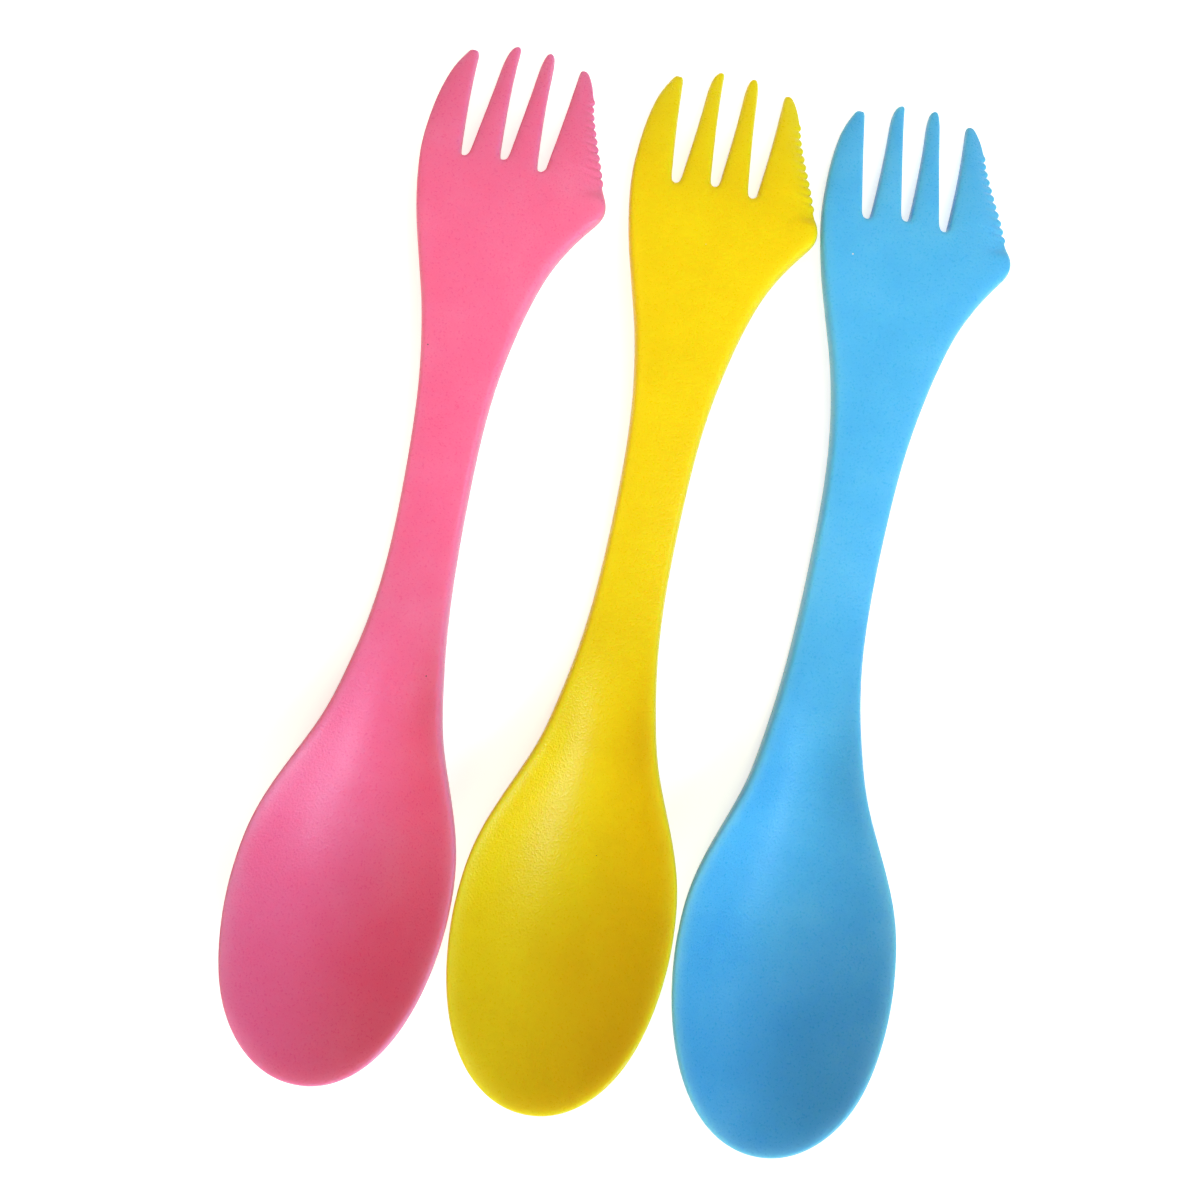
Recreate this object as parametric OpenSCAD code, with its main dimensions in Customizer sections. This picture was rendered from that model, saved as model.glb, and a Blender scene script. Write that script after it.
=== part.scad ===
/* [Size] */
// Length from the tip of the bowl to the tips of the tines
length = 170; // [160:1:180]
// Width of the spoon bowl
bowl_w = 35; // [33:0.2:38]
// Distance from the tip of the bowl to its widest place
bowl_front = 29; // [26:0.5:32]
// Depth of the bowl below its rim
bowl_depth = 9.4; // [7:0.2:11]
// Narrowest width of the handle
handle_w = 11.1; // [9:0.1:13]
// Width of the fork over its four tines
fork_w = 27.6; // [26:0.2:29]

/* [Heights] */
// Height of the rim at the front of the bowl
rim_z = 15.2; // [13:0.2:17]
// Height of the middle of the neck
neck_z = 2.7; // [2.4:0.1:4]
// Height of the middle of the palm of the fork
palm_z = 7.4; // [5.5:0.1:8.5]

/* [Thickness] */
// Wall of the bowl
bowl_t = 2; // [1.6:0.1:2.6]
// Thickness of the handle
handle_t = 4; // [3:0.1:4.6]
// Thickness of the palm
palm_t = 3.4; // [2.6:0.1:4]
// Thickness of the tines at their tips
tine_t = 1.6; // [1.2:0.1:2.2]

/* [Edges] */
// How far the rounded rim of the bowl stands out
rim_round = 0.55; // [0.4:0.05:0.9]
// How far the rounded sides of the handle stand out
handle_round = 0.75; // [0.5:0.05:1.2]
// How far the rounded sides of the tines stand out
tine_round = 0.4; // [0.3:0.05:0.6]

/* [Fork] */
// Distance between neighbouring slots
slot_pitch = 6.3; // [6:0.1:6.6]
// Width of a slot at its root
slot_root_w = 1.2; // [0.8:0.1:1.6]
// Width of a slot at the tips
slot_tip_w = 4.2; // [3.6:0.1:4.6]
// Depth of the slots
slot_depth = 22; // [20:0.5:24]
// How far the heel of the cutting edge stands out past the tines
heel_out = 3.9; // [2.8:0.1:4.6]
// Length of the side that sweeps out to the heel
heel_sweep = 9.2; // [8:0.2:11]
// Number of teeth on the cutting edge
teeth = 11; // [7:1:13]
// Depth of the teeth
tooth_depth = 0.9; // [0.5:0.1:1.1]

/* [Set] */
// Clear gap between neighbouring sporks
gap = 0.3; // [0.2:0.1:1]
// Turn of the pink spork towards the yellow one, in degrees
pink_turn = 0.5; // [0:0.1:1]
// How far the pink spork is pulled back along its length
pink_back = 2.7; // [0:0.1:5]
// How far the blue spork is pushed ahead along its length
blue_ahead = 0.9; // [0:0.1:3]

/* [Hidden] */

function mix(a, b, f) = a + (b - a) * f;
function along(percent) = length * percent / 100;

// Smooth curve through hand-set points [place, value], with level ends
function rise(c, i) =
    i == 0 || i == len(c) - 1 ? 0
    : (c[i + 1][1] - c[i - 1][1]) / (c[i + 1][0] - c[i - 1][0]);
function span(c, y, i = 0) = i >= len(c) - 2 || y < c[i + 1][0] ? i : span(c, y, i + 1);
function curve(c, y) =
    let (i = span(c, y), w = c[i + 1][0] - c[i][0], s = max(0, min(1, (y - c[i][0]) / w)))
    c[i][1] * (1 + 2 * s) * (1 - s) ^ 2 + rise(c, i) * w * s * (1 - s) ^ 2
    + c[i + 1][1] * s ^ 2 * (3 - 2 * s) + rise(c, i + 1) * w * s ^ 2 * (s - 1);

// Half widths, from the bowl over the waist of the handle to the fork
waist = [
    [bowl_front, bowl_w / 2],
    [along(22.5), mix(handle_w, bowl_w, 0.92) / 2],
    [along(27), mix(handle_w, bowl_w, 0.69) / 2],
    [along(32), mix(handle_w, bowl_w, 0.39) / 2],
    [along(37), mix(handle_w, bowl_w, 0.22) / 2],
    [along(43), mix(handle_w, bowl_w, 0.08) / 2],
    [along(48.5), mix(handle_w, bowl_w, 0.02) / 2],
    [along(55), handle_w / 2],
    [along(62.5), mix(handle_w, fork_w, 0.03) / 2],
    [along(67.5), mix(handle_w, fork_w, 0.13) / 2],
    [along(72.5), mix(handle_w, fork_w, 0.33) / 2],
    [along(77), mix(handle_w, fork_w, 0.59) / 2]
];

left_side = concat(waist, [
    [along(81.5), mix(handle_w, fork_w, 0.84) / 2],
    [along(86.5), fork_w / 2],
    [along(90), fork_w / 2],
    [along(93.5), fork_w * 0.48],
    [along(97), fork_w * 0.43],
    [along(99.5), fork_w * 0.36],
    [along(103), fork_w * 0.25]
]);

heel_x = fork_w / 2 + heel_out;
heel_y = along(84.7);
blade_y = heel_y + heel_sweep * 0.42;
blade_x = fork_w / 2 + heel_out * 0.62;
right_side = concat(waist, [
    [heel_y - heel_sweep, heel_x - heel_out * 1.44],
    [heel_y - heel_sweep * 0.57, heel_x - heel_out * 0.85],
    [heel_y - heel_sweep * 0.33, heel_x - heel_out * 0.44],
    [heel_y - heel_sweep * 0.13, heel_x - heel_out * 0.08],
    [heel_y + heel_sweep * 0.02, heel_x],
    [heel_y + heel_sweep * 0.15, heel_x - heel_out * 0.08],
    [heel_y + heel_sweep * 0.29, mix(heel_x, blade_x, 0.65)],
    [blade_y, blade_x],
    [along(88.8), fork_w * 0.55],
    [along(91), fork_w * 0.5],
    [along(94.5), fork_w * 0.43],
    [along(97), fork_w * 0.405],
    [along(99.5), fork_w * 0.355],
    [along(103), fork_w * 0.25]
]);

// Height of the middle line, seen from the side
side_line = [
    [0, rim_z],
    [along(6), rim_z],
    [along(12), mix(neck_z, rim_z, 0.85)],
    [along(18), mix(neck_z, rim_z, 0.685)],
    [along(24), mix(neck_z, rim_z, 0.525)],
    [along(30), mix(neck_z, rim_z, 0.345)],
    [along(36), mix(neck_z, rim_z, 0.155)],
    [along(42), mix(neck_z, rim_z, 0.025)],
    [along(47), neck_z],
    [along(53), mix(neck_z, palm_z, 0.2)],
    [along(60), mix(neck_z, palm_z, 0.58)],
    [along(68), mix(neck_z, palm_z, 0.88)],
    [along(77), palm_z],
    [along(83), palm_z * 0.965],
    [along(88), palm_z * 0.84],
    [along(92), palm_z * 0.65],
    [along(96), mix(tine_t / 2, palm_z, 0.33)],
    [length, tine_t / 2],
    [along(105), tine_t * -0.75]
];

thickness = [
    [0, bowl_t],
    [along(22), bowl_t],
    [along(42), mix(bowl_t, handle_t, 0.9)],
    [along(54), handle_t],
    [along(70), mix(palm_t, handle_t, 0.8)],
    [along(82), palm_t],
    [along(92), mix(tine_t, palm_t, 0.5)],
    [length, tine_t]
];

// How far the rounded edge stands out from the flat faces
edge_round = [
    [0, rim_round],
    [along(25), rim_round * 1.1],
    [along(42), handle_round],
    [along(64), handle_round],
    [along(76), handle_round * 1.3],
    [along(84), handle_round],
    [along(88), tine_round * 1.1],
    [length, tine_round]
];
function edge_r(y) = curve(edge_round, y);

// Bowl: a dish with an elliptical front and a soft lip, fading out into the neck
bowl_end = along(46);
dish_power = 2.2;
lip_power = 1.12;
front_power = 2.08;
function fade(s) = s >= 1 ? 0 : (1 - s) ^ 2 * (1 + 2 * s);
function half_in(y) = curve(waist, y) - edge_r(y);
front_in = bowl_front - edge_r(0);
function dish_at(x, y) =
    y < bowl_front
    ? (abs(x / half_in(bowl_front)) ^ front_power
        + abs((bowl_front - y) / front_in) ^ front_power) ^ (1 / front_power)
    : abs(x) / half_in(y);
function dish(x, y) =
    y > bowl_end ? 0
    : bowl_depth * fade(max(0, (y - bowl_front) / (bowl_end - bowl_front)))
      * (1 - min(1, dish_at(x, y)) ^ dish_power) ^ lip_power;
function dish_growth(x, y) =
    y < bowl_front
    ? norm([x / half_in(bowl_front) ^ 2, (bowl_front - y) / front_in ^ 2]) / max(0.001, dish_at(x, y))
    : 1 / half_in(y);
function dish_slope(x, y) =
    y > bowl_end ? 0
    : let (s = min(1, dish_at(x, y)))
      bowl_depth * fade(max(0, (y - bowl_front) / (bowl_end - bowl_front)))
      * lip_power * (1 - s ^ dish_power) ^ (lip_power - 1)
      * dish_power * s ^ (dish_power - 1) * dish_growth(x, y);

// Cutting edge: rounded teeth on a thinned band beside the right side, with grooves between them
tooth_pitch = (along(96) - blade_y) / teeth;
function on_blade(y) = y > blade_y && y < blade_y + teeth * tooth_pitch;
function tooth(y) =
    on_blade(y) ? tooth_depth * (abs(sin(180 * (y - blade_y) / tooth_pitch)) - 0.5) : 0;
function groove(y) =
    on_blade(y) ? 0.25 * (1 - abs(sin(180 * (y - blade_y) / tooth_pitch))) : 0;
bevel_w = fork_w * 0.065;
function bevel(x, y) =
    let (s = max(0, min(1, (curve(right_side, y) - edge_r(y) - x) / bevel_w)))
    y < heel_y + heel_sweep * 0.22 ? 1
    : mix(0.5, 1, s) * (1 - groove(y) * (1 - s) ^ 2);

// Slots: three straight gaps that widen towards the tips
slot_x = [for (k = [-1:1]) slot_pitch * (k - 0.055)];
slot_w = slot_tip_w * [1, 0.9, 1];
slot_y = [for (k = [0:2]) length - slot_depth * (k == 1 ? 0.97 : 1)];
function slot_half(k, y) =
    mix(slot_root_w, slot_w[k], sin(90 * max(0, min(1, (y - slot_y[k]) / slot_depth)))) / 2;
palm_end = max(slot_y) + slot_root_w;

// Handle, palm and tines are fullest along their middle
crowning = [
    [along(24), 0],
    [along(40), 0.06],
    [along(55), 0.12],
    [along(70), 0.12],
    [along(82), 0.08],
    [along(89), 0.1],
    [along(93), 0.16],
    [length, 0.22]
];
function side_part(x, y) =
    let (
        k = [for (n = [0:2]) if (x > slot_x[n]) 1],
        a = y < palm_end ? -curve(left_side, y) : tine_left(len(k), y),
        b = y < palm_end ? curve(right_side, y) : tine_right(len(k), y)
    )
    min(1, abs(2 * x - a - b) / (b - a));
function crown(x, y) = 1 - curve(crowning, y) * side_part(x, y) ^ 2;

function mid_z(x, y) = curve(side_line, y) - dish(x, y);
function half_t(x, y) =
    curve(thickness, y) / 2 * sqrt(1 + dish_slope(x, y) ^ 2) * bevel(x, y) * crown(x, y);

// Each tine: first and last column of the plan grid, and the place of its tip
tine_cols = [[0, 3], [6, 8], [11, 13], [16, 19]];
tip_x = fork_w * [-0.35, -0.1, 0.1, 0.32];
tip_back = slot_depth * [0.11, 0, 0, 0.085];
tip_run = slot_depth * [0.23, 0.23, 0.2, 0.23];
tip_w = tine_t * [0.55, 0.15, 0.15, 0.35];
tip = [for (k = [0:3]) [tip_x[k], length - tip_back[k] - edge_r(length)]];
last_col = 19;

function tine_left(k, y) = k == 0 ? -curve(left_side, y) : slot_x[k - 1] + slot_half(k - 1, y);
function tine_right(k, y) = k == 3 ? curve(right_side, y) : slot_x[k] - slot_half(k, y);
function narrow(k, y) =
    let (s = max(0, (y - tip[k].y + tip_run[k]) / tip_run[k])) 1 - sqrt(max(0, 1 - s ^ 2.2));
function tine_x(k, f, y) =
    let (
        r = edge_r(y),
        a = tine_left(k, y) + r,
        b = tine_right(k, y) - r,
        n = narrow(k, y),
        x = mix(mix(a, b, f), tip[k].x + (f - 0.5) * tip_w[k], n)
    )
    f == 1 && k == 3 ? x + tooth(y) : x;

// Plan grid of the body: rows run across, columns run from the bowl to the fork
front_turn = 48;
front_rows = 9;
function full_sin(a) = sign(a) * abs(sin(a)) ^ (2 / front_power);
function full_cos(a) = abs(cos(a)) ^ (2 / front_power);
function front_point(s, u) =
    let (
        a = mix(front_turn, 90, s),
        y_mid = front_in * s,
        y_end = front_in * (1 - full_cos(a)),
        x_end = half_in(bowl_front) * full_sin(a)
    )
    [
        x_end * full_sin(u * front_turn) / full_sin(front_turn),
        bowl_front - front_in
            + mix(y_mid, y_end, (1 - full_cos(u * front_turn)) / (1 - full_cos(front_turn)))
    ];

function col_in_tine(j) = [for (k = [0:3]) if (j >= tine_cols[k][0] && j <= tine_cols[k][1]) k][0];
function col_part(k, j) = (j - tine_cols[k][0]) / (tine_cols[k][1] - tine_cols[k][0]);
function root_y(k) = slot_y[k] + slot_root_w / 2;
function col_root_y(j) =
    j == last_col ? blade_y
    : let (k = col_in_tine(j), f = col_part(k, j))
      mix(root_y(max(0, k - 1)), k == 3 ? blade_y : root_y(min(2, k)), f);
function root_point(j) =
    is_undef(col_in_tine(j))
    ? let (
        k = j < 6 ? 0 : j < 11 ? 1 : 2,
        a = 180 + 60 * (j - tine_cols[k][1]),
        r = slot_root_w / 2 + edge_r(root_y(k))
      )
      [slot_x[k] + r * cos(a), root_y(k) + r * sin(a)]
    : let (k = col_in_tine(j), y = col_root_y(j)) [tine_x(k, col_part(k, j), y), y];

palm_y = along(70);
function row_point(y, j) =
    let (
        a = edge_r(y) - curve(left_side, y),
        b = curve(right_side, y) - edge_r(y),
        even = mix(a, b, j / last_col),
        forked = mix(a, b, (root_point(j).x - root_point(0).x)
            / (root_point(last_col).x - root_point(0).x)),
        s = max(0, min(1, (y - palm_y) / (blade_y - palm_y)))
    )
    [mix(even, forked, s ^ 2 * (3 - 2 * s)), y];

fork_start = along(72);
row_places = concat(
    [for (i = [1:10]) mix(bowl_front, along(42), i / 10)],
    [for (i = [1:9]) mix(along(42), fork_start, i / 9)],
    [for (i = [1:7]) mix(fork_start, heel_y - heel_sweep * 0.26, i / 7)],
    [for (i = [1:5]) mix(heel_y - heel_sweep * 0.26, heel_y + heel_sweep * 0.3, i / 5)]
);
body_plan = concat(
    [for (i = [0:front_rows]) [for (j = [0:last_col])
        front_point(i / front_rows, 2 * j / last_col - 1)]],
    [for (y = row_places) [for (j = [0:last_col]) row_point(y, j)]],
    [[for (j = [0:last_col]) root_point(j)]]
);

blade_rows = 4;
tine_rows = 8;
tip_rows = 4;
function tine_steps(k) =
    k == 3
    ? concat(
        [for (i = [0:blade_rows * teeth]) mix(blade_y, along(96), i / (blade_rows * teeth))],
        [for (i = [1:tip_rows]) mix(along(96), tip[3].y, sin(90 * i / tip_rows))])
    : concat(
        [for (i = [0:tine_rows]) mix(root_y(min(k, 2)), tip[k].y - tip_run[k], i / tine_rows)],
        [for (i = [1:tip_rows + 1]) tip[k].y - tip_run[k] * (1 - sin(90 * i / (tip_rows + 1)))]);
function tine_plan(k) =
    let (steps = tine_steps(k), y0 = steps[0], y1 = tip[k].y)
    [for (y = steps) [for (j = [tine_cols[k][0]:tine_cols[k][1]])
        y == y0 ? root_point(j)
        : let (yj = mix(col_root_y(j), y1, (y - y0) / (y1 - y0)))
          [tine_x(k, col_part(k, j), yj), yj]]];
tine_plans = [for (k = [0:3]) tine_plan(k)];

// Outline of the plan grid, once round against the clock from the left of the bowl
function column(plan, j) = [for (row = plan) row[j]];
function flip(list) = [for (i = [len(list) - 1:-1:0]) list[i]];
function inner(list) = [for (i = [1:len(list) - 1]) list[i]];
function tine_outline(k) =
    let (p = tine_plans[k], n = len(p[0]) - 1)
    concat(inner(column(p, n)), inner(flip(p[len(p) - 1])), inner(flip(column(p, 0))));
function slot_outline(k) = [for (j = [tine_cols[k + 1][0] - 1:-1:tine_cols[k][1]]) root_point(j)];
outline = concat(
    body_plan[0],
    inner(column(body_plan, last_col)),
    tine_outline(3), slot_outline(2),
    tine_outline(2), slot_outline(1),
    tine_outline(1), slot_outline(0),
    tine_outline(0),
    inner(flip(inner(column(body_plan, 0))))
);

// Rounded edge all round the outline
edge_steps = 4;
function outward(i) =
    let (
        n = len(outline),
        d = outline[(i + 1) % n] - outline[(i + n - 1) % n],
        l = norm(d)
    )
    [d.y, -d.x] / l;
function edge_point(i, step) =
    let (
        p = outline[i],
        a = 90 - 180 * step / edge_steps,
        q = p + outward(i) * edge_r(p.y) * (step == 0 || step == edge_steps ? 0 : cos(a))
    )
    [q.x, q.y, mid_z(p.x, p.y) + half_t(p.x, p.y) * sin(a)];

// Triangles of a sheet of points, without those that close up to nothing
function sheet(rows) = [
    for (i = [0:len(rows) - 2])
        for (j = [0:len(rows[i]) - 2])
            for (t = [
                [rows[i][j], rows[i + 1][j], rows[i + 1][j + 1]],
                [rows[i][j], rows[i + 1][j + 1], rows[i][j + 1]]
            ])
                if (t[0] != t[1] && t[1] != t[2] && t[2] != t[0]) t
];
function turned(triangles) = [for (t = triangles) [t[2], t[1], t[0]]];
function face(plan, side) =
    [for (row = plan) [for (p = row) [p.x, p.y, mid_z(p.x, p.y) + side * half_t(p.x, p.y)]]];

plans = concat([body_plan], tine_plans);
rim = [for (i = [0:len(outline)]) [for (s = [0:edge_steps]) edge_point(i % len(outline), s)]];
triangles = concat(
    [for (p = plans) each sheet(face(p, 1))],
    [for (p = plans) each turned(sheet(face(p, -1)))],
    sheet(rim)
);
lowest = min([for (t = triangles) for (p = t) p.z]);

module spork() {
    translate([0, 0, -lowest])
    polyhedron(
        points = [for (t = triangles) each t],
        faces = [for (i = [0:len(triangles) - 1]) [3 * i, 3 * i + 1, 3 * i + 2]]
    );
}

// Places in the set: the bowls lie side by side, and the blue fork leans on the yellow heel
bowl_step = bowl_w + gap;
blue_turn = atan((bowl_step - heel_x - curve(left_side, heel_y) - gap) / (heel_y - bowl_front));
set_middle = (length + blue_ahead - pink_back) / 2;

module placed(x, y, turn) {
    translate([x, y + bowl_front - set_middle, 0])
    rotate([0, 0, turn])
    translate([0, -bowl_front, 0])
    spork();
}

module yellow_spork() {
    color("gold") placed(0, 0, 0);
}

module pink_spork() {
    color("palevioletred") placed(-bowl_step, -pink_back, -pink_turn);
}

module blue_spork() {
    color("deepskyblue") placed(bowl_step, blue_ahead, blue_turn);
}

yellow_spork();
pink_spork();
blue_spork();
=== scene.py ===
import math
import bpy
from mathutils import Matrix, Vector
from mathutils.kdtree import KDTree


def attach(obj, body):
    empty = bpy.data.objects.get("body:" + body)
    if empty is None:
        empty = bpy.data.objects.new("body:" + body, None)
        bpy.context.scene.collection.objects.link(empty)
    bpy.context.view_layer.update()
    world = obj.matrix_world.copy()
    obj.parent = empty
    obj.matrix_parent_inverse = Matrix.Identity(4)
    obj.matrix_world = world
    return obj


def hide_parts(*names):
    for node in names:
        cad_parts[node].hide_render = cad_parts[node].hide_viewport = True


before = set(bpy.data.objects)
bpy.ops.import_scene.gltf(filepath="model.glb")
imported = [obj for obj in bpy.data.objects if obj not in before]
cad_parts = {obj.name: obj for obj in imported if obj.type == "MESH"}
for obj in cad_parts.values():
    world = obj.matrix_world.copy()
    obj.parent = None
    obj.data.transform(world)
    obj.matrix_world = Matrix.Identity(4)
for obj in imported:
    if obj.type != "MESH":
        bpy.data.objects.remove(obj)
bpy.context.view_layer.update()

print("frame loaded:", ", ".join(sorted(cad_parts)))


def clearSelection():
    if bpy.context.mode != "OBJECT":
        bpy.ops.object.mode_set(mode="OBJECT")
    bpy.ops.object.select_all(action="DESELECT")


def makeActive(obj):
    clearSelection()
    obj.select_set(True)
    bpy.context.view_layer.objects.active = obj


# Shape of the mouldings

moulding = {
    "mergeDistance": 0.00001,   # joins the loose triangles of the solid
    "quadAngle": 40,            # widest fold between two triangles that become one face
    "smoothLevels": 2,
    "smoothAngle": 50,
    "sideTilt": 0.25,           # a point whose normal rises less than this is on the edge
    # painted rim light: the edges are painted paler to stand in for light that comes through the thin
    # plastic
    "rimLightWidth": 0.003,          # the thin edge lets more light through and looks paler
    # share of the painted rim light along Y
    "rimLightZones": ((-0.04, 1.0), (0.0, 0.6), (0.05, 0.5), (0.066, 0.12)),  # place along Y, share
}


def copyMoulding(nodeName, pieceName):
    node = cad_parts[nodeName]
    piece = bpy.data.objects.new(pieceName, node.data.copy())
    bpy.context.scene.collection.objects.link(piece)
    makeActive(piece)
    piece.data.materials.clear()
    bpy.ops.object.mode_set(mode="EDIT")
    bpy.ops.mesh.select_all(action="SELECT")
    bpy.ops.mesh.remove_doubles(threshold=moulding["mergeDistance"])
    bpy.ops.mesh.customdata_custom_splitnormals_clear()
    turn = math.radians(moulding["quadAngle"])
    bpy.ops.mesh.tris_convert_to_quads(face_threshold=turn, shape_threshold=turn)
    bpy.ops.mesh.normals_make_consistent(inside=False)
    bpy.ops.object.mode_set(mode="OBJECT")
    return piece


def smoothMoulding(piece):
    makeActive(piece)
    smooth = piece.modifiers.new("smooth", "SUBSURF")
    smooth.levels = moulding["smoothLevels"]
    smooth.render_levels = moulding["smoothLevels"]
    bpy.ops.object.modifier_apply(modifier=smooth.name)
    bpy.ops.object.shade_smooth_by_angle(angle=math.radians(moulding["smoothAngle"]))


def rimLightShare(y):
    zones = moulding["rimLightZones"]
    if y <= zones[0][0]:
        return zones[0][1]
    for (lowY, low), (highY, high) in zip(zones, zones[1:]):
        if y < highY:
            return low + (high - low) * (y - lowY) / (highY - lowY)
    return zones[-1][1]


def markRimLight(piece):
    # painted rim light: 1 on the edge of the moulding, falling to 0 inwards, and weaker towards the
    # tines; it pales the colour where light would come through the thin plastic
    mesh = piece.data
    sides = [v for v in mesh.vertices if abs(v.normal.z) < moulding["sideTilt"]]
    tree = KDTree(len(sides))
    for i, v in enumerate(sides):
        tree.insert(v.co, i)
    tree.balance()
    glow = []
    for v in mesh.vertices:
        near = max(0, 1 - tree.find(v.co)[2] / moulding["rimLightWidth"])
        glow.append(near * near * rimLightShare(v.co.y))
    mesh.attributes.new("edgeGlow", "FLOAT", "POINT").data.foreach_set("value", glow)


# Finish of the plastic

pinkPlastic = {
    "name": "pinkPlastic",
    "colour": (0.99, 0.182, 0.37, 1),
    "deep": (0.98, 0.135, 0.315, 1),
    "pale": (0.995, 0.255, 0.44, 1),
    "glowDepth": (0.0025, 0.0012, 0.0014),   # how far light goes into the plastic
    # paler colour painted along the edges as rim light
    "edge": (0.98, 0.34, 0.5, 1),
    "shine": 0.5,
    "seed": 1.0,
}

yellowPlastic = {
    "name": "yellowPlastic",
    "colour": (0.87, 0.655, 0.003, 1),
    "deep": (0.81, 0.575, 0.002, 1),
    "pale": (0.9, 0.725, 0.006, 1),
    "glowDepth": (0.0026, 0.0018, 0.0006),
    # paler colour painted along the edges as rim light
    "edge": (0.97, 0.78, 0.05, 1),
    "shine": 0.5,
    "seed": 2.0,
}

bluePlastic = {
    "name": "bluePlastic",
    "colour": (0.1, 0.5, 0.9, 1),
    "deep": (0.072, 0.43, 0.84, 1),
    "pale": (0.16, 0.57, 0.93, 1),
    "glowDepth": (0.0010, 0.0015, 0.0020),
    # paler colour painted along the edges as rim light
    "edge": (0.28, 0.66, 0.9, 1),
    "shine": 0.5,
    "seed": 3.0,
}

plasticGrain = {
    "grainScale": 2800,     # features of about 0.3 mm
    "grainBump": 0.9,
    "grainHeight": 0.0001,
    "grainTint": (0.0, 0.08),   # shift along the colours below, deep to pale
    "cloudScale": 90,
    "cloudTint": (0.35, 0.55),
    "noiseReach": (0.3, 0.7),   # where nearly all of a noise lies
    "tintStops": (0.25, 0.5, 0.75),     # deep, colour and pale
    "roughness": (0.24, 0.46),
    # painted rim light: how far the edges are paled towards the rim colour
    "edgePale": 0.8,
    "speckScale": 300,      # one cell in 3 mm can hold a speck
    "speckSize": 0.036,     # share of a cell
    "paleSpecks": 0.08,     # share of the cells with a grain of dust
    "darkSpecks": 0.05,
    "dust": (0.93, 0.82, 0.72, 1),
    "soot": (0.12, 0.08, 0.05, 1),
    "ior": 1.49,
    "glowShare": 0.85,      # light that goes into the plastic and comes out again
}


def plasticFinish(look):
    material = bpy.data.materials.new(look["name"])
    material.use_nodes = True
    nodes = material.node_tree.nodes
    links = material.node_tree.links
    nodes.clear()
    output = nodes.new("ShaderNodeOutputMaterial")
    shader = nodes.new("ShaderNodeBsdfPrincipled")
    links.new(shader.outputs["BSDF"], output.inputs["Surface"])
    place = nodes.new("ShaderNodeTexCoord")
    shift = nodes.new("ShaderNodeMapping")
    shift.inputs["Location"].default_value = (look["seed"], 0, 0)
    links.new(place.outputs["Object"], shift.inputs["Vector"])

    def noise(scale, detail):
        texture = nodes.new("ShaderNodeTexNoise")
        texture.inputs["Scale"].default_value = scale
        texture.inputs["Detail"].default_value = detail
        links.new(shift.outputs["Vector"], texture.inputs["Vector"])
        return texture

    def spread(source, reach, target):
        span = nodes.new("ShaderNodeMapRange")
        span.inputs["From Min"].default_value = reach[0]
        span.inputs["From Max"].default_value = reach[1]
        span.inputs["To Min"].default_value = target[0]
        span.inputs["To Max"].default_value = target[1]
        links.new(source, span.inputs["Value"])
        return span.outputs["Result"]

    cloud = noise(plasticGrain["cloudScale"], 3)
    grain = noise(plasticGrain["grainScale"], 2)
    reach = plasticGrain["noiseReach"]

    ramp = nodes.new("ShaderNodeValToRGB")
    deepStop, middleStop, paleStop = plasticGrain["tintStops"]
    ramp.color_ramp.elements[0].position = deepStop
    ramp.color_ramp.elements[0].color = look["deep"]
    ramp.color_ramp.elements[1].position = paleStop
    ramp.color_ramp.elements[1].color = look["pale"]
    ramp.color_ramp.elements.new(middleStop).color = look["colour"]
    mixed = nodes.new("ShaderNodeMath")
    mixed.operation = "ADD"
    links.new(spread(cloud.outputs["Fac"], reach, plasticGrain["cloudTint"]), mixed.inputs[0])
    links.new(spread(grain.outputs["Fac"], reach, plasticGrain["grainTint"]), mixed.inputs[1])
    links.new(mixed.outputs["Value"], ramp.inputs["Fac"])
    edge = nodes.new("ShaderNodeAttribute")
    edge.attribute_name = "edgeGlow"

    def tintOver(below, amount, colour):
        mix = nodes.new("ShaderNodeMix")
        mix.data_type = "RGBA"      # its colours are inputs 6 and 7, and output 2
        links.new(amount, mix.inputs["Factor"])
        links.new(below, mix.inputs[6])
        mix.inputs[7].default_value = colour
        return mix.outputs[2]

    # painted rim light: the colour pales towards the rim colour along the edges, standing in for light
    # through the thin plastic
    rimLightAmount = spread(edge.outputs["Fac"], (0, 1), (0, plasticGrain["edgePale"]))
    surface = tintOver(ramp.outputs["Color"], rimLightAmount, look["edge"])

    # a few specks: small balls round random points, cut by the surface
    cells = nodes.new("ShaderNodeTexVoronoi")
    cells.inputs["Scale"].default_value = plasticGrain["speckScale"]
    links.new(shift.outputs["Vector"], cells.inputs["Vector"])
    pick = nodes.new("ShaderNodeSeparateColor")
    links.new(cells.outputs["Color"], pick.inputs["Color"])

    def compare(source, operation, limit):
        test = nodes.new("ShaderNodeMath")
        test.operation = operation
        test.inputs[1].default_value = limit
        links.new(source, test.inputs[0])
        return test.outputs["Value"]

    def speck(below, chosen, colour):
        both = nodes.new("ShaderNodeMath")
        both.operation = "MULTIPLY"
        near = compare(cells.outputs["Distance"], "LESS_THAN", plasticGrain["speckSize"])
        links.new(near, both.inputs[0])
        links.new(chosen, both.inputs[1])
        return tintOver(below, both.outputs["Value"], colour)

    dusty = compare(pick.outputs["Red"], "LESS_THAN", plasticGrain["paleSpecks"])
    sooty = compare(pick.outputs["Red"], "GREATER_THAN", 1 - plasticGrain["darkSpecks"])
    surface = speck(surface, dusty, plasticGrain["dust"])
    surface = speck(surface, sooty, plasticGrain["soot"])
    links.new(surface, shader.inputs["Base Color"])

    rough = spread(grain.outputs["Fac"], reach, plasticGrain["roughness"])
    links.new(rough, shader.inputs["Roughness"])

    bump = nodes.new("ShaderNodeBump")
    bump.inputs["Strength"].default_value = plasticGrain["grainBump"]
    bump.inputs["Distance"].default_value = plasticGrain["grainHeight"]
    links.new(grain.outputs["Fac"], bump.inputs["Height"])
    links.new(bump.outputs["Normal"], shader.inputs["Normal"])

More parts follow.
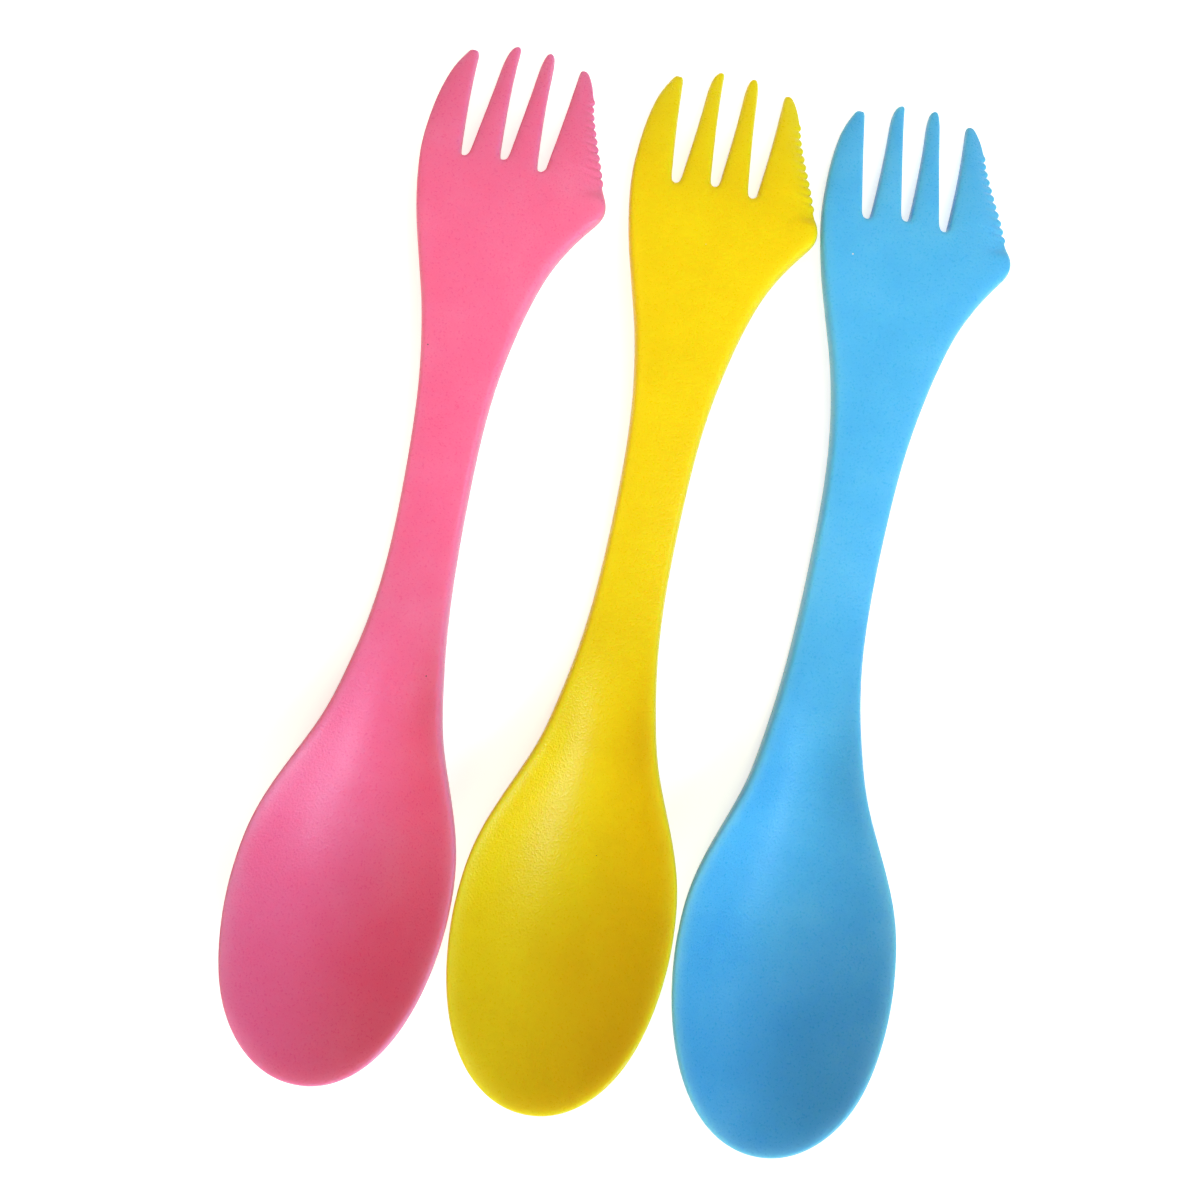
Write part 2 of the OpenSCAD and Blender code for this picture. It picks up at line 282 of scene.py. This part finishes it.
    shader.inputs["IOR"].default_value = plasticGrain["ior"]
    shader.inputs["Specular IOR Level"].default_value = look["shine"]
    shader.inputs["Subsurface Weight"].default_value = plasticGrain["glowShare"]
    shader.inputs["Subsurface Radius"].default_value = look["glowDepth"]
    shader.inputs["Subsurface Scale"].default_value = 1
    return material


for name, look in (("pink", pinkPlastic), ("yellow", yellowPlastic), ("blue", bluePlastic)):
    piece = copyMoulding(name + "_spork", name + "Moulding")
    smoothMoulding(piece)
    markRimLight(piece)
    piece.data.materials.append(plasticFinish(look))
    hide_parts(name + "_spork")
    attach(piece, name + "_spork")
    print(name, "moulding:", len(piece.data.polygons), "faces")


# Table, lamps and camera

table = {
    "size": 6.0,
    "colour": (0.82, 0.82, 0.82, 1),
    "white": 0.6,       # added for what looks at the table straight or in a reflection
}


def layTable():
    clearSelection()
    bpy.ops.mesh.primitive_plane_add(size=table["size"], location=(0, 0, 0))
    floor = bpy.context.object
    floor.name = "tableTop"
    material = bpy.data.materials.new("tablePaper")
    material.use_nodes = True
    nodes = material.node_tree.nodes
    links = material.node_tree.links
    nodes.clear()
    output = nodes.new("ShaderNodeOutputMaterial")
    matt = nodes.new("ShaderNodeBsdfDiffuse")
    matt.inputs["Color"].default_value = table["colour"]
    glow = nodes.new("ShaderNodeEmission")
    glow.inputs["Color"].default_value = (1, 1, 1, 1)
    path = nodes.new("ShaderNodeLightPath")
    first = nodes.new("ShaderNodeMath")
    first.operation = "MAXIMUM"
    second = nodes.new("ShaderNodeMath")
    second.operation = "MAXIMUM"
    amount = nodes.new("ShaderNodeMath")
    amount.operation = "MULTIPLY"
    amount.inputs[1].default_value = table["white"]
    both = nodes.new("ShaderNodeAddShader")
    links.new(path.outputs["Is Camera Ray"], first.inputs[0])
    links.new(path.outputs["Is Glossy Ray"], first.inputs[1])
    links.new(first.outputs["Value"], second.inputs[0])
    links.new(path.outputs["Is Transmission Ray"], second.inputs[1])
    links.new(second.outputs["Value"], amount.inputs[0])
    links.new(amount.outputs["Value"], glow.inputs["Strength"])
    links.new(matt.outputs["BSDF"], both.inputs[0])
    links.new(glow.outputs["Emission"], both.inputs[1])
    links.new(both.outputs["Shader"], output.inputs["Surface"])
    floor.data.materials.append(material)


lamps = [   # turn is counted from +X towards +Y, rise from the table, sheen shows in the gloss
    {"name": "frontWindow", "turn": 270, "rise": 28,
     "strength": 2.25, "colour": (1, 0.94, 0.71), "sheen": False},
    {"name": "sideWindow", "turn": 320, "rise": 38,
     "strength": 1.55, "colour": (0.48, 0.75, 1), "sheen": True},
    {"name": "rightWall", "turn": 0, "rise": 28,
     "strength": 0.42, "colour": (0.45, 0.78, 1), "sheen": False},
    {"name": "backWall", "turn": 90, "rise": 34,
     "strength": 0.3, "colour": (1, 0.84, 0.56), "sheen": False},
    {"name": "leftWall", "turn": 190, "rise": 28,
     "strength": 0.42, "colour": (1, 0.5, 0.14), "sheen": False},
]
lampWidth = 30      # degrees, as seen from the table


def hangLamp(lamp):
    data = bpy.data.lights.new(lamp["name"], "SUN")
    data.angle = math.radians(lampWidth)
    data.energy = lamp["strength"]
    data.color = lamp["colour"]
    holder = bpy.data.objects.new(lamp["name"], data)
    holder.visible_glossy = lamp["sheen"]
    turn, rise = math.radians(lamp["turn"]), math.radians(lamp["rise"])
    toward = Vector((math.cos(turn) * math.cos(rise), math.sin(turn) * math.cos(rise), math.sin(rise)))
    holder.location = toward
    holder.rotation_euler = toward.to_track_quat("Z", "Y").to_euler()
    bpy.context.scene.collection.objects.link(holder)


deskLamp = {
    "place": (0.03, 0.1, 0.2),      # near the forks, just above the camera
    "radius": 0.06,
    "power": 0.92,
    "colour": (1, 0.95, 0.74),
}


def hangDeskLamp():
    data = bpy.data.lights.new("deskLamp", "POINT")
    data.shadow_soft_size = deskLamp["radius"]
    data.energy = deskLamp["power"]
    data.color = deskLamp["colour"]
    holder = bpy.data.objects.new("deskLamp", data)
    holder.location = deskLamp["place"]
    holder.visible_camera = False
    holder.visible_glossy = False
    bpy.context.scene.collection.objects.link(holder)


room = {
    "colour": (1, 1, 1, 1),
    "strength": 0.04,
    "seen": 0.96,       # added where the camera sees the room
    "mirrored": 0.1,    # added where the plastic mirrors it
}


def lightRoom():
    world = bpy.data.worlds.new("paleRoom")
    world.use_nodes = True
    nodes = world.node_tree.nodes
    links = world.node_tree.links
    back = nodes["Background"]
    back.inputs["Color"].default_value = room["colour"]
    path = nodes.new("ShaderNodeLightPath")
    seen = nodes.new("ShaderNodeMath")
    seen.operation = "MULTIPLY_ADD"
    seen.inputs[1].default_value = room["seen"]
    seen.inputs[2].default_value = room["strength"]
    links.new(path.outputs["Is Camera Ray"], seen.inputs[0])
    amount = nodes.new("ShaderNodeMath")
    amount.operation = "MULTIPLY_ADD"
    amount.inputs[1].default_value = room["mirrored"]
    links.new(path.outputs["Is Glossy Ray"], amount.inputs[0])
    links.new(seen.outputs["Value"], amount.inputs[2])
    links.new(amount.outputs["Value"], back.inputs["Strength"])
    bpy.context.scene.world = world


viewpoint = {
    "under": (-0.00478, -0.004378),    # point of the table straight below the camera
    "height": 0.17867,
    "turn": 11.789,
    "width": 0.201394,                  # table seen across the picture
    "clip": (0.01, 20),
}


def placeCamera():
    data = bpy.data.cameras.new("overheadCamera")
    data.sensor_fit = "HORIZONTAL"
    data.angle = 2 * math.atan(viewpoint["width"] / 2 / viewpoint["height"])
    data.clip_start, data.clip_end = viewpoint["clip"]
    camera = bpy.data.objects.new("overheadCamera", data)
    camera.location = (*viewpoint["under"], viewpoint["height"])
    camera.rotation_euler = (0, 0, math.radians(viewpoint["turn"]))
    bpy.context.scene.collection.objects.link(camera)
    bpy.context.scene.camera = camera


layTable()
for lamp in lamps:
    hangLamp(lamp)
hangDeskLamp()
lightRoom()
placeCamera()
bpy.context.scene.view_settings.view_transform = "Standard"
print("table, lamps and camera set")
